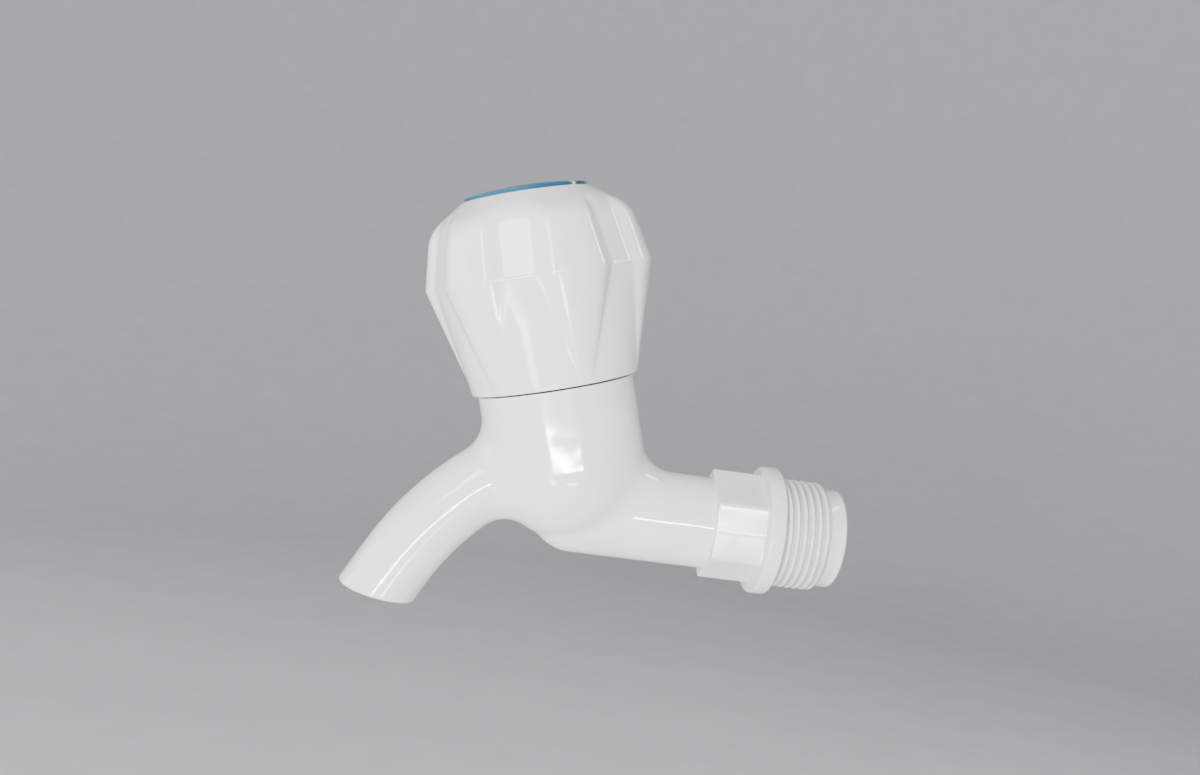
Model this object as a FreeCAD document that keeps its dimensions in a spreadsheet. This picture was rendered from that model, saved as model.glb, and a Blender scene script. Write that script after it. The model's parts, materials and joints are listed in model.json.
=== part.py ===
"""Bib tap: a plastic screw-down tap with a curved spout, a G3/4 inlet and a six-lobed knob.

Frame, in millimetres: the origin is on the inlet's axis, at the flange's face that meets the wall.
+X runs along the inlet into the wall, +Z is up, and the spout reaches out to -X.
The head pieces are turned about the head axis, which leans towards the spout. In their own
frame +Z runs up that axis and zero is the face of the valve seat, with the valve shut.
"""
import FreeCAD, Part
import math
import os
import Sketcher

# Each size: its name, its value in millimetres or degrees, and what it measures
SIZES = (
    # Inlet adaptor
    ("thread_major_d", 26.44, "outside diameter of the G3/4 thread"),
    ("thread_pitch", 1.814, "distance from crest to crest"),
    ("thread_depth", 1.162, "radial depth of the thread"),
    ("thread_flank", 27.5, "angle of each flank from square to the axis"),
    ("thread_root", 0.14, "half of the width of the thread's root"),
    ("thread_overcut", 0.15, "how far the thread's cutter stands proud of the crests"),
    ("thread_length", 12.1, "threaded length from the flange's face"),
    ("nose_d", 24.0, "outside diameter of the plain nose"),
    ("nose_length", 3.9, "length of the plain nose"),
    ("nose_chamfer", 0.5, "chamfer at the nose, inside and outside"),
    ("nipple_bore_d", 17.0, "bore of the adaptor from the welded socket to the nose"),
    ("flange_d", 31.0, "flange diameter"),
    ("flange_thick", 3.8, "flange thickness"),
    ("flange_edge", 0.5, "chamfer on the flange's rim"),
    ("hexagon_flats", 23.3, "hexagon across its flats"),
    ("hexagon_length", 12.2, "hexagon length along the inlet"),
    ("hexagon_turn", 0.3, "how far the hexagon is turned about the inlet's axis"),
    ("socket_stop", 2.0, "material left between the socket's bottom and the flange's face"),
    # Inlet tube of the body
    ("tube_d", 22.1, "outside diameter of the inlet tube"),
    ("tube_bore_d", 15.0, "bore of the inlet tube"),
    ("spigot_d", 18.8, "outside diameter of the tube's end inside the adaptor"),
    ("weld_gap", 0.05, "radial room for the solvent in the welded joint"),
    ("end_gap", 0.3, "room at the bottom of the welded joint"),
    # Head axis, neck and valve chamber
    ("neck_offset", 48.5, "flange face to the head axis, along the inlet's axis"),
    ("neck_lean", 17.35, "lean of the head axis from upright, towards the spout"),
    ("bowl_rise", 11.0, "inlet axis to the centre of the rounded chamber, up the head axis"),
    ("seat_rise", 12.5, "inlet axis to the valve seat's face, up the head axis"),
    ("neck_d", 37.1, "outside diameter of the neck and of the chamber"),
    ("neck_top", 17.0, "valve seat to the neck's top, up the head axis"),
    ("chamber_d", 30.0, "bore of the neck and chamber"),
    ("chamber_depth", 4.5, "valve seat down to the chamber's floor"),
    ("seat_d", 15.0, "outside diameter of the valve seat's ring"),
    ("seat_hole_d", 10.5, "water way through the valve seat"),
    ("inlet_blend", 9.0, "inner rounding between the neck and the inlet tube"),
    ("spout_blend", 8.0, "inner rounding between the neck and the spout"),
    # Spout
    ("spout_d", 17.7, "outside diameter of the spout"),
    ("spout_bore_d", 13.2, "bore of the spout"),
    ("spout_reach", 92.5, "flange face to the middle of the outlet, along the inlet's axis"),
    ("spout_drop", 26.0, "inlet axis down to the middle of the outlet"),
    ("spout_bend", 68.8, "radius of the spout's centre line"),
    ("spout_exit", 27.6, "angle of the outlet's axis from straight down"),
    ("spout_tail", 8.0, "straight stretch at the outlet"),
    ("outlet_cut", 18.1, "slant of the outlet's face, towards level"),
    ("lip_round", 0.8, "rounding of the outlet's outer edge"),
    ("spout_root", 10.0, "how far the spout's centre line is set into the neck's wall"),
    # Bonnet and its gasket
    ("gasket_thick", 1.2, "gasket thickness"),
    ("gasket_d", 33.0, "gasket outside diameter"),
    ("thread_gap", 0.1, "radial room between a plain thread and its mate"),
    ("bonnet_reach", 8.0, "valve seat to the bonnet's lower end"),
    ("bonnet_cup_d", 18.4, "hollow in the bonnet's lower end, for the raised valve"),
    ("bonnet_cup_top", 13.7, "valve seat to the top of that hollow"),
    ("bonnet_flange_d", 33.2, "bonnet flange diameter"),
    ("bonnet_flange_thick", 3.0, "bonnet flange thickness"),
    ("bonnet_flats", 25.0, "bonnet hexagon across its flats"),
    ("bonnet_hexagon", 7.0, "height of the bonnet's hexagon"),
    ("stub_d", 19.0, "threaded stub that carries the gland nut"),
    ("stub_length", 8.0, "length of the stub"),
    ("nut_thread_top", 24.0, "valve seat to the top of the spindle's nut thread"),
    ("relief_top", 31.0, "valve seat to the top of the room above the nut thread"),
    ("relief_d", 12.4, "room above the nut thread"),
    ("box_depth", 3.2, "depth of the packing box in the stub"),
    ("box_d", 13.0, "packing box diameter"),
    # Gland
    ("packing_thick", 2.3, "packing ring height"),
    ("follower_thick", 1.5, "hard ring on the packing"),
    ("gland_flats", 22.4, "gland nut across its flats"),
    ("gland_skirt", 6.5, "depth of the gland nut's threaded skirt"),
    ("gland_roof", 2.0, "gland nut's top wall"),
    # Spindle
    ("spindle_thread_d", 11.0, "spindle thread diameter"),
    ("spindle_pitch", 2.5, "rise of the spindle for one turn"),
    ("spindle_turns", 2.4, "turns from shut to fully open"),
    ("collar_d", 13.0, "collar at the spindle's lower end"),
    ("collar_thick", 2.4, "collar thickness"),
    ("shaft_d", 8.0, "plain shaft through the gland"),
    ("shaft_gap", 0.15, "radial room round the shaft in hard parts"),
    ("seal_gap", 0.04, "radial room round the shaft in the packing"),
    ("stem_d", 6.0, "stem of the valve plate, inside the spindle"),
    ("stem_length", 8.3, "length of that stem"),
    ("stem_gap", 0.08, "radial room round the stem"),
    ("thrust_gap", 0.05, "end play between the spindle and the valve plate"),
    ("square_side", 5.6, "square that carries the knob, across its flats"),
    ("square_gap", 0.05, "room on each side of the square"),
    ("square_from", 41.0, "valve seat to the square's shoulder"),
    ("square_length", 11.5, "length of the square"),
    # Valve
    ("washer_d", 15.6, "rubber valve washer diameter"),
    ("washer_thick", 3.0, "rubber valve washer thickness"),
    ("washer_hole_d", 3.4, "hole in the rubber washer"),
    ("plate_d", 16.4, "valve plate diameter"),
    ("plate_thick", 2.2, "valve plate thickness"),
    ("valve_screw_d", 3.0, "screw that holds the rubber washer"),
    ("valve_screw_head_d", 6.6, "head of that screw"),
    ("valve_screw_head", 1.8, "height of that head"),
    ("valve_screw_length", 9.0, "length of that screw under its head"),
    ("screw_gap", 0.05, "radial room round a screw"),
    # Knob
    ("knob_gap", 0.5, "gap between the neck's top and the knob's rim"),
    ("rim_d", 39.6, "knob diameter at its lower rim"),
    ("wide_d", 54.6, "knob diameter over its lobes at the widest level"),
    ("wide_rise", 25.9, "rim to the widest level"),
    ("crown_d", 48.2, "knob diameter over its lobes at the top corner"),
    ("crown_rise", 38.9, "rim to the top corner"),
    ("dome_rise", 5.9, "top corner to the disc's seat"),
    ("lobe_count", 6, "lobes round the knob"),
    ("flute_floor_d", 48.8, "across the flutes' floors at the widest level"),
    ("flute_crown_d", 42.7, "across the flutes' floors at the top corner"),
    ("flute_width", 8.6, "width of a flute's floor above the widest level"),
    ("flute_rim_angle", 26.5, "half of the angle that a flute spans at the rim"),
    ("flute_turn", -13.5, "turn of the first flute from the tap's near side"),
    ("knob_wall", 2.6, "wall of the knob's shell"),
    ("knob_roof", 4.0, "thickness of the knob's top under the disc"),
    ("boss_d", 14.0, "boss round the spindle's square"),
    ("well_d", 15.0, "well in the knob's top for the screw"),
    ("well_wall", 2.5, "wall round the well"),
    ("well_floor", 3.5, "thickness of the well's floor"),
    ("land_d", 30.6, "flat top of the knob, inside the dome"),
    ("disc_d", 29.2, "index disc diameter"),
    ("disc_thick", 1.4, "index disc thickness at its edge"),
    ("disc_dome", 1.3, "how far the disc's middle stands above its edge"),
    ("disc_flat_d", 12.0, "flat middle of the disc"),
    ("disc_seat", 0.5, "how deep the index disc is let in"),
    ("disc_gap", 0.1, "room round the index disc"),
    ("disc_plug", 2.0, "depth of the disc's plug in the well"),
    ("plug_wall", 1.2, "wall of that plug"),
    # Knob screw
    ("knob_screw_d", 3.0, "knob screw thread diameter"),
    ("knob_screw_length", 10.0, "knob screw length under its head"),
    ("knob_screw_head_d", 6.4, "knob screw head diameter"),
    ("knob_screw_head", 2.4, "knob screw head height"),
    ("knob_washer_d", 10.0, "knob washer diameter"),
    ("knob_washer_thick", 0.8, "knob washer thickness"),
    ("screw_slot", 0.9, "width and depth of a screw's slot"),
)

# Directions of a PartDesign origin plane, by its role
FLOOR = "XY_Plane"
FRONT = "XZ_Plane"

DOC = FreeCAD.newDocument("bib_tap")
UP = FreeCAD.Vector(0, 0, 1)
MADE = []


class Dim:
    """A length worked out from the sheet: its number, and the expression that gives it."""

    def __init__(self, number, words):
        self.number = number
        self.words = words

    def join(self, other, sign, number):
        return Dim(number, "(%s %s %s)" % (self.words, sign, as_dim(other).words))

    def __add__(self, other):
        return self.join(other, "+", self.number + as_dim(other).number)

    def __sub__(self, other):
        return self.join(other, "-", self.number - as_dim(other).number)

    def __mul__(self, other):
        return self.join(other, "*", self.number * as_dim(other).number)

    def __truediv__(self, other):
        return self.join(other, "/", self.number / as_dim(other).number)


def as_dim(value):
    """A plain number as a Dim; a Dim stays as it is."""
    return value if isinstance(value, Dim) else Dim(value, repr(float(value)))


ZERO = as_dim(0.0)


def make_sheet():
    """Write every size to the spreadsheet under its alias."""
    sheet = DOC.addObject("Spreadsheet::Sheet", "sizes")
    for row, (alias, value, meaning) in enumerate(SIZES, start=1):
        sheet.set("A%d" % row, alias)
        sheet.set("B%d" % row, str(value))
        sheet.set("C%d" % row, meaning)
        sheet.setAlias("B%d" % row, alias)
    DOC.recompute()
    return sheet


SHEET = make_sheet()


def size(alias):
    """A size of the sheet as a Dim."""
    return Dim(float(SHEET.get(alias)), "sizes." + alias)


def half(alias):
    """Half of a size, such as the radius of a diameter."""
    return size(alias) / 2


def mm(alias):
    """A size of the sheet as a plain number."""
    return float(SHEET.get(alias))


# Frames of the three groups of pieces

def head_direction():
    """The head axis, from the inlet up to the knob."""
    lean = math.radians(mm("neck_lean"))
    return FreeCAD.Vector(-math.sin(lean), 0, math.cos(lean))


def head_place(rise):
    """Placement on the head axis, a distance up from the inlet's axis."""
    crossing = FreeCAD.Vector(-mm("neck_offset"), 0, 0)
    turn = FreeCAD.Rotation(FreeCAD.Vector(0, -1, 0), mm("neck_lean"))
    return FreeCAD.Placement(crossing + head_direction() * rise, turn)


def seat_place():
    """Placement of every piece of the head: zero is the seat's face."""
    return head_place(mm("seat_rise"))


def inlet_place(along):
    """Placement on the inlet's axis, with the piece's own +Z along +X."""
    turn = FreeCAD.Rotation(FreeCAD.Vector(0, 1, 0), 90)
    return FreeCAD.Placement(FreeCAD.Vector(along, 0, 0), turn)


# Helpers that draw and shape one piece

def new_body(label, place):
    """An empty body for one piece."""
    body = DOC.addObject("PartDesign::Body", label + "_body")
    body.Label = label
    body.Placement = place
    MADE.append(body)
    return body


def origin_plane(body, role):
    """One of the body's own origin planes."""
    return next(item for item in body.Origin.OriginFeatures if item.Role == role)


def draw(body, name, role, corners):
    """A closed outline of straight lines, each corner bound to its sizes."""
    sketch = body.newObject("Sketcher::SketchObject", name)
    sketch.AttachmentSupport = [(origin_plane(body, role), "")]
    sketch.MapMode = "FlatFace"
    corners = [(as_dim(across), as_dim(along)) for across, along in corners]
    spots = [FreeCAD.Vector(across.number, along.number, 0) for across, along in corners]
    count = len(spots)
    for i in range(count):
        sketch.addGeometry(Part.LineSegment(spots[i], spots[(i + 1) % count]), False)
    for i in range(count):
        sketch.addConstraint(Sketcher.Constraint("Coincident", i, 2, (i + 1) % count, 1))
    for i, pair in enumerate(corners):
        for kind, axis, dim in (("DistanceX", -2, pair[0]), ("DistanceY", -1, pair[1])):
            if dim is ZERO:
                sketch.addConstraint(Sketcher.Constraint("PointOnObject", i, 1, axis))
            else:
                bond = sketch.addConstraint(Sketcher.Constraint(kind, -1, 1, i, 1, dim.number))
                sketch.setExpression("Constraints[%d]" % bond, dim.words)
    return sketch


def spin(body, name, corners, kind="Revolution"):
    """Turn an outline of (radius, height) corners about the body's Z axis."""
    sketch = draw(body, name + "_outline", FRONT, corners)
    feature = body.newObject("PartDesign::" + kind, name)
    feature.Profile = sketch
    feature.ReferenceAxis = (sketch, ["V_Axis"])
    feature.Angle = 360
    body.Tip = feature
    return feature


def bore(body, name, corners):
    """Turn an outline about the Z axis and take it out of the body."""
    before = solid_volume(body)
    feature = spin(body, name, corners, "Groove")
    check_cut(body, before, name)
    return feature


def polygon(sides, flats):
    """Corners of a regular polygon with a flat side facing +Y and -Y, across its flats."""
    reach = half_of(flats) / math.cos(math.pi / sides)
    start = math.pi / 2 - math.pi / sides
    return [(reach * math.cos(start + 2 * math.pi * i / sides),
             reach * math.sin(start + 2 * math.pi * i / sides)) for i in range(sides)]


def half_of(dim):
    """Half of a Dim."""
    return dim / 2


def prism(body, name, sides, flats, start, length, turn=0.0, kind="Pad"):
    """A straight polygonal bar or, as a Pocket, hole, along +Z from a height."""
    sketch = draw(body, name + "_outline", FLOOR, polygon(sides, flats))
    sketch.AttachmentOffset = FreeCAD.Placement(
        FreeCAD.Vector(0, 0, start.number), FreeCAD.Rotation(UP, turn))
    sketch.setExpression("AttachmentOffset.Base.z", start.words)
    feature = body.newObject("PartDesign::" + kind, name)
    feature.Profile = sketch
    feature.setExpression("Length", length.words)
    if kind == "Pocket":
        feature.Reversed = True
    body.Tip = feature
    return feature


def solid_volume(body):
    """Volume of the body's shape so far."""
    DOC.recompute()
    return body.Shape.Volume


def check_cut(body, before, name):
    """Stop when a cut took nothing away."""
    after = solid_volume(body)
    if after > before - 1e-6:
        raise RuntimeError("%s: the cut %s took nothing away" % (body.Label, name))


def sleeve(label, outer, inner, low, high, place):
    """A plain ring between two radii and two heights."""
    body = new_body(label, place)
    spin(body, "ring", [(inner, low), (outer, low), (outer, high), (inner, high)])
    return body


# Inlet adaptor

def make_inlet_nipple():
    """Hexagon, flange, thread and nose: one moulding, welded over the inlet tube."""
    flange, crest = half("flange_d"), half("thread_major_d")
    nose, hole = half("nose_d"), half("nipple_bore_d")
    edge, chamfer = size("flange_edge"), size("nose_chamfer")
    back = ZERO - size("flange_thick")
    thread_end = size("thread_length")
    front = thread_end + size("nose_length")
    body = new_body("inlet_nipple", inlet_place(0))
    spin(body, "blank", [
        (ZERO, back), (flange - edge, back), (flange, back + edge), (flange, ZERO - edge),
        (flange - edge, ZERO), (crest, ZERO), (crest, thread_end - size("thread_depth")),
        (nose, thread_end), (nose, front - chamfer), (nose - chamfer, front), (ZERO, front)])
    prism(body, "hexagon", 6, size("hexagon_flats"), back - size("hexagon_length"),
          size("hexagon_length"), mm("hexagon_turn"))
    socket = half("spigot_d") + size("weld_gap")
    heel = back - size("hexagon_length")
    stop = ZERO - size("socket_stop")
    bore(body, "water_way", [
        (ZERO, heel), (socket, heel), (socket, stop), (hole, stop), (hole, front - chamfer),
        (hole + chamfer, front), (ZERO, front)])
    cut_thread(body)
    return body


def cut_thread(body):
    """The right-hand thread, cut as a helix with straight flanks."""
    root = half("thread_major_d") - size("thread_depth")
    proud = half("thread_major_d") + size("thread_overcut")
    slope = math.tan(math.radians(mm("thread_flank")))
    low = size("thread_root")
    wide = low + (size("thread_depth") + size("thread_overcut")) * slope
    middle = size("thread_pitch") / 2
    before = solid_volume(body)
    sketch = draw(body, "thread_section", FRONT, [
        (root, middle - low), (proud, middle - wide), (proud, middle + wide), (root, middle + low)])
    helix = body.newObject("PartDesign::SubtractiveHelix", "thread")
    helix.Profile = sketch
    helix.ReferenceAxis = (sketch, ["V_Axis"])
    helix.Mode = 0
    helix.setExpression("Pitch", size("thread_pitch").words)
    helix.setExpression("Height", (size("thread_length") + size("thread_pitch") / 2).words)
    helix.Angle = 0
    helix.LeftHanded = False
    helix.Reversed = False
    body.Tip = helix
    check_cut(body, before, "thread")


# Tap body

def spout_middle():
    """Centre of the circle that the spout's centre line follows."""
    exit_angle = math.radians(mm("spout_exit"))
    along = FreeCAD.Vector(-math.sin(exit_angle), 0, -math.cos(exit_angle))
    outlet = FreeCAD.Vector(-mm("spout_reach"), 0, -mm("spout_drop"))
    bend_end = outlet - along * mm("spout_tail")
    outward = FreeCAD.Vector(-math.cos(exit_angle), 0, math.sin(exit_angle))
    return bend_end - outward * mm("spout_bend")


def spout_root_angle():
    """Where the spout's centre line starts inside the neck, as an angle on its circle."""
    depth = mm("neck_d") / 2 - mm("spout_root")
    middle = spout_middle()
    axis = head_direction()
    across = FreeCAD.Vector(-axis.z, 0, axis.x)
    chamber = head_place(mm("bowl_rise")).Base
    low, high = math.radians(90), math.radians(180 - mm("spout_exit"))
    for _ in range(40):
        angle = (low + high) / 2
        spot = middle + FreeCAD.Vector(math.cos(angle), 0, math.sin(angle)) * mm("spout_bend")
        if (spot - chamber).dot(across) < depth:
            low = angle
        else:
            high = angle
    return math.degrees(low)


def spout_arc(name, radius, start):
    """A round bar along the spout's centre line, from an angle to the straight end."""
    middle = spout_middle()
    turn = math.radians(start)
    ahead = FreeCAD.Vector(-math.sin(turn), 0, math.cos(turn))
    side = FreeCAD.Vector(0, 1, 0)
    spot = middle + FreeCAD.Vector(math.cos(turn), 0, math.sin(turn)) * mm("spout_bend")
    section = solid("Circle", name + "_section", FreeCAD.Placement(
        spot, FreeCAD.Rotation(side, ahead.cross(side), ahead, "ZXY")), Radius=radius)
    item = DOC.addObject("Part::Revolution", name)
    item.Source = section
    item.Base = middle
    item.Axis = FreeCAD.Vector(0, -1, 0)
    item.Solid = True
    item.setExpression("Angle", "180 - sizes.spout_exit - %r" % start)
    return item


def solid(kind, name, place, **sizes):
    """A simple solid whose sizes are bound to the sheet."""
    item = DOC.addObject("Part::" + kind, name)
    for key, dim in sizes.items():
        item.setExpression(key, dim.words)
    item.Placement = place
    return item


def tail_place():
    """Placement of the spout's straight end, with +Z along the outflow."""
    exit_angle = math.radians(mm("spout_exit"))
    along = FreeCAD.Vector(-math.sin(exit_angle), 0, -math.cos(exit_angle))
    outlet = FreeCAD.Vector(-mm("spout_reach"), 0, -mm("spout_drop"))
    return FreeCAD.Placement(outlet - along * mm("spout_tail"), FreeCAD.Rotation(UP, along))


def outlet_slab():
    """The block that cuts the outlet's face at its slant."""
    tilt = mm("spout_exit") - mm("outlet_cut")
    down = FreeCAD.Vector(-math.sin(math.radians(tilt)), 0, -math.cos(math.radians(tilt)))
    outlet = FreeCAD.Vector(-mm("spout_reach"), 0, -mm("spout_drop"))
    slab = solid("Cylinder", "outlet_slab", FreeCAD.Placement(outlet, FreeCAD.Rotation(UP, down)),
                 Radius=size("spout_d") * 2, Height=size("spout_d"))
    return slab


def edges_between(shape, first, second):
    """Numbers of the edges that part a face of the first kind from one of the second."""
    found = []
    for number, edge in enumerate(shape.Edges, start=1):
        faces = [face for face in shape.Faces
                 if any(edge.isSame(other) for other in face.Edges)]
        if len(faces) == 2 and (first(faces[0]) and second(faces[1])
                                or first(faces[1]) and second(faces[0])):
            found.append(number)
    return found


def round_face(radius, kinds):
    """A test for a round face of one radius."""
    def test(face):
        surface = face.Surface
        if not isinstance(surface, kinds):
            return False
        own = surface.MinorRadius if isinstance(surface, Part.Toroid) else surface.Radius
        return abs(own - radius) < 1e-6
    return test


def fillet(name, base, radius, first, second):
    """Round the inner corner between two kinds of faces."""
    DOC.recompute()
    numbers = edges_between(base.Shape, first, second)
    item = DOC.addObject("Part::Fillet", name)
    item.Base = base
    item.Edges = [(number, radius, radius) for number in numbers]
    return item


def joined(name, parts):
    """Several solids fused into one."""
    item = DOC.addObject("Part::MultiFuse", name)
    item.Shapes = parts
    item.Refine = True
    return item


def body_outside():
    """The outer form: neck, rounded chamber, inlet tube, spigot and spout."""
    root_angle = spout_root_angle()
    chamber = head_place(mm("bowl_rise"))
    heel = inlet_place(-mm("neck_offset"))
    tube_length = (size("neck_offset") - size("flange_thick") - size("hexagon_length"))
    neck_height = size("seat_rise") - size("bowl_rise") + size("neck_top")
    blank = joined("body_blank", [
        solid("Cylinder", "neck", chamber, Radius=half("neck_d"), Height=neck_height),
        solid("Sphere", "chamber_bowl", chamber, Radius=half("neck_d")),
        solid("Cylinder", "inlet_tube", heel, Radius=half("tube_d"), Height=tube_length),
        solid("Sphere", "tube_heel", heel, Radius=half("tube_d")),
        spout_arc("spout_bend_outside", half("spout_d"), root_angle),
        solid("Cylinder", "spout_tail_outside", tail_place(), Radius=half("spout_d"),
              Height=size("spout_tail") + half("spout_d"))])
    is_neck = round_face(mm("neck_d") / 2, (Part.Cylinder, Part.Sphere))
    is_tube = round_face(mm("tube_d") / 2, (Part.Cylinder, Part.Sphere))
    is_spout = round_face(mm("spout_d") / 2, (Part.Toroid, Part.Cylinder))
    smooth = fillet("spout_rounding", blank, mm("spout_blend"), is_neck, is_spout)
    smooth = fillet("inlet_rounding", smooth, mm("inlet_blend"), is_neck, is_tube)
    spigot = solid("Cylinder", "spigot", heel, Radius=half("spigot_d"),
                   Height=size("neck_offset") - size("socket_stop") - size("end_gap"))
    return joined("body_outside", [smooth, spigot])


def body_hollow():
    """Everything that is open inside the body, as one solid."""
    heel = inlet_place(-mm("neck_offset"))
    wall = mm("neck_d") / 2 - mm("chamber_d") / 2
    bore_angle = spout_root_angle() + math.degrees(wall / mm("spout_bend"))
    floor = ZERO - size("chamber_depth")
    top = size("neck_top") + size("gasket_thick")
    chamber = new_body_tool("chamber_hollow", [
        (half("seat_d"), floor), (half("chamber_d"), floor), (half("chamber_d"), top), (ZERO, top),
        (ZERO, ZERO - size("seat_rise")),
        (half("seat_hole_d"), ZERO - size("seat_rise")), (half("seat_hole_d"), ZERO),
        (half("seat_d"), ZERO)])
    return joined("body_hollow", [
        chamber,
        solid("Cylinder", "inlet_way", heel, Radius=half("tube_bore_d"), Height=size("neck_offset")),
        solid("Sphere", "inlet_way_end", heel, Radius=half("tube_bore_d")),
        spout_arc("spout_way", half("spout_bore_d"), bore_angle),
        solid("Cylinder", "outlet_way", tail_place(), Radius=half("spout_bore_d"),
              Height=size("spout_tail") + half("spout_d")),
        outlet_slab()])


def new_body_tool(name, corners):
    """A turned solid in the head's frame that is only used as a tool."""
    body = DOC.addObject("PartDesign::Body", name + "_body")
    body.Placement = seat_place()
    spin(body, name, corners)
    return body


def make_tap_body():
    """The body moulding: neck, chamber, valve seat, inlet tube and spout."""
    outside = body_outside()
    hollow = body_hollow()
    cut = DOC.addObject("Part::Cut", "tap_body_cut")
    cut.Base = outside
    cut.Tool = hollow
    is_spout = round_face(mm("spout_d") / 2, (Part.Toroid, Part.Cylinder))
    rounded = fillet("lip_rounding", cut, mm("lip_round"), is_spout, is_outlet_face)
    rounded.Label = "tap_body"
    MADE.append(rounded)
    return rounded


def is_outlet_face(face):
    """A test for the flat face at the outlet."""
    return isinstance(face.Surface, Part.Plane) and face.CenterOfMass.z < -mm("spout_drop") / 2


# Bonnet, gasket and gland

def bonnet_levels():
    """Heights of the bonnet: flange's underside, flange top, hexagon top, stub top."""
    seat = size("neck_top") + size("gasket_thick")
    flange_top = seat + size("bonnet_flange_thick")
    hexagon_top = flange_top + size("bonnet_hexagon")
    return seat, flange_top, hexagon_top, hexagon_top + size("stub_length")


def make_bonnet():
    """The headwork that is screwed into the neck and carries the spindle's nut thread."""
    seat, flange_top, hexagon_top, top = bonnet_levels()
    barrel = half("chamber_d") - size("thread_gap")
    flange, stub = half("bonnet_flange_d"), half("stub_d")
    nut = half("spindle_thread_d") + size("thread_gap")
    shaft = half("shaft_d") + size("shaft_gap")
    low, cup_top = size("bonnet_reach"), size("bonnet_cup_top")
    box_floor = top - size("box_depth")
    body = new_body("bonnet", seat_place())
    spin(body, "blank", [
        (ZERO, low), (barrel, low), (barrel, seat), (flange, seat), (flange, flange_top),
        (stub, flange_top), (stub, top), (ZERO, top)])
    prism(body, "hexagon", 6, size("bonnet_flats"), flange_top, size("bonnet_hexagon"))
    bore(body, "spindle_way", [
        (ZERO, low), (half("bonnet_cup_d"), low), (half("bonnet_cup_d"), cup_top), (nut, cup_top),
        (nut, size("nut_thread_top")), (half("relief_d"), size("nut_thread_top")),
        (half("relief_d"), size("relief_top")), (shaft, size("relief_top")), (shaft, box_floor),
        (half("box_d"), box_floor), (half("box_d"), top), (ZERO, top)])
    return body


def make_gasket():
    """Flat ring between the neck's top and the bonnet's flange."""
    return sleeve("bonnet_gasket", half("gasket_d"), half("chamber_d") + size("thread_gap"),
                  size("neck_top"), size("neck_top") + size("gasket_thick"), seat_place())


def gland_levels():
    """Heights of the packing's foot, the follower's foot and the gland nut's ceiling."""
    foot = bonnet_levels()[3] - size("box_depth")
    follower = foot + size("packing_thick")
    return foot, follower, follower + size("follower_thick")


def make_packing():
    """Soft ring round the spindle."""
    foot, follower, _ = gland_levels()
    return sleeve("gland_packing", half("box_d") - size("seal_gap"),
                  half("shaft_d") + size("seal_gap"), foot, follower, seat_place())


def make_follower():
    """Hard ring that the gland nut presses on the packing."""
    _, follower, ceiling = gland_levels()
    return sleeve("gland_follower", half("box_d") - size("thread_gap"),
                  half("shaft_d") + size("shaft_gap"), follower, ceiling, seat_place())


def make_gland_nut():
    """Cap nut on the bonnet's stub."""
    ceiling = gland_levels()[2]
    foot = ceiling - size("gland_skirt")
    inside = half("stub_d") + size("thread_gap")
    shaft = half("shaft_d") + size("shaft_gap")
    body = new_body("gland_nut", seat_place())
    prism(body, "hexagon", 6, size("gland_flats"), foot, size("gland_skirt") + size("gland_roof"))
    bore(body, "thread_and_hole", [
        (ZERO, foot), (inside, foot), (inside, ceiling), (shaft, ceiling),
        (shaft, ceiling + size("gland_roof")), (ZERO, ceiling + size("gland_roof"))])
    return body


# Valve

def valve_levels():
    """Heights of the washer's top, the plate's top and the stem's end."""
    plate = size("washer_thick")
    top = plate + size("plate_thick")
    return plate, top, top + size("stem_length")


def make_seat_washer():
    """Rubber washer that shuts the seat."""
    return sleeve("seat_washer", half("washer_d"), half("washer_hole_d"),
                  ZERO, size("washer_thick"), seat_place())


def make_jumper():
    """Valve plate with the stem that sits in the spindle's end."""
    plate, top, end = valve_levels()
    body = new_body("jumper", seat_place())
    spin(body, "blank", [
        (ZERO, plate), (half("plate_d"), plate), (half("plate_d"), top), (half("stem_d"), top),
        (half("stem_d"), end), (ZERO, end)])
    hole = half("valve_screw_d") + size("screw_gap")
    bore(body, "screw_hole", [
        (ZERO, plate), (hole, plate), (hole, size("valve_screw_length")),
        (ZERO, size("valve_screw_length"))])
    return body


def make_screw(label, head_d, head, shank_d, length, seat, up):
    """A slotted screw: its head's bearing face at a height, and its shank the other way."""
    sign = 1 if up else -1
    body = new_body(label, seat_place())
    head_end = seat + head * sign
    tip = seat - length * sign
    spin(body, "blank", [
        (ZERO, head_end), (head_d / 2, head_end), (head_d / 2, seat), (shank_d / 2, seat),
        (shank_d / 2, tip), (ZERO, tip)])
    before = solid_volume(body)
    slot = size("screw_slot")
    width, reach = slot / 2, head_d
    sketch = draw(body, "slot_outline", FLOOR, [
        (ZERO - reach, ZERO - width), (reach, ZERO - width), (reach, width), (ZERO - reach, width)])
    floor = head_end - slot * sign
    sketch.setExpression("AttachmentOffset.Base.z", floor.words)
    cut = body.newObject("PartDesign::Pocket", "slot")
    cut.Profile = sketch
    cut.setExpression("Length", (slot * 2).words)
    cut.Reversed = up
    body.Tip = cut
    check_cut(body, before, "slot")
    return body


def make_washer_screw():
    """Screw that holds the rubber washer to the plate, head down in the seat's hole."""
    return make_screw("washer_screw", size("valve_screw_head_d"), size("valve_screw_head"),
                      size("valve_screw_d"), size("valve_screw_length") - size("end_gap"),
                      ZERO + 0, False)


# Spindle

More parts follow.
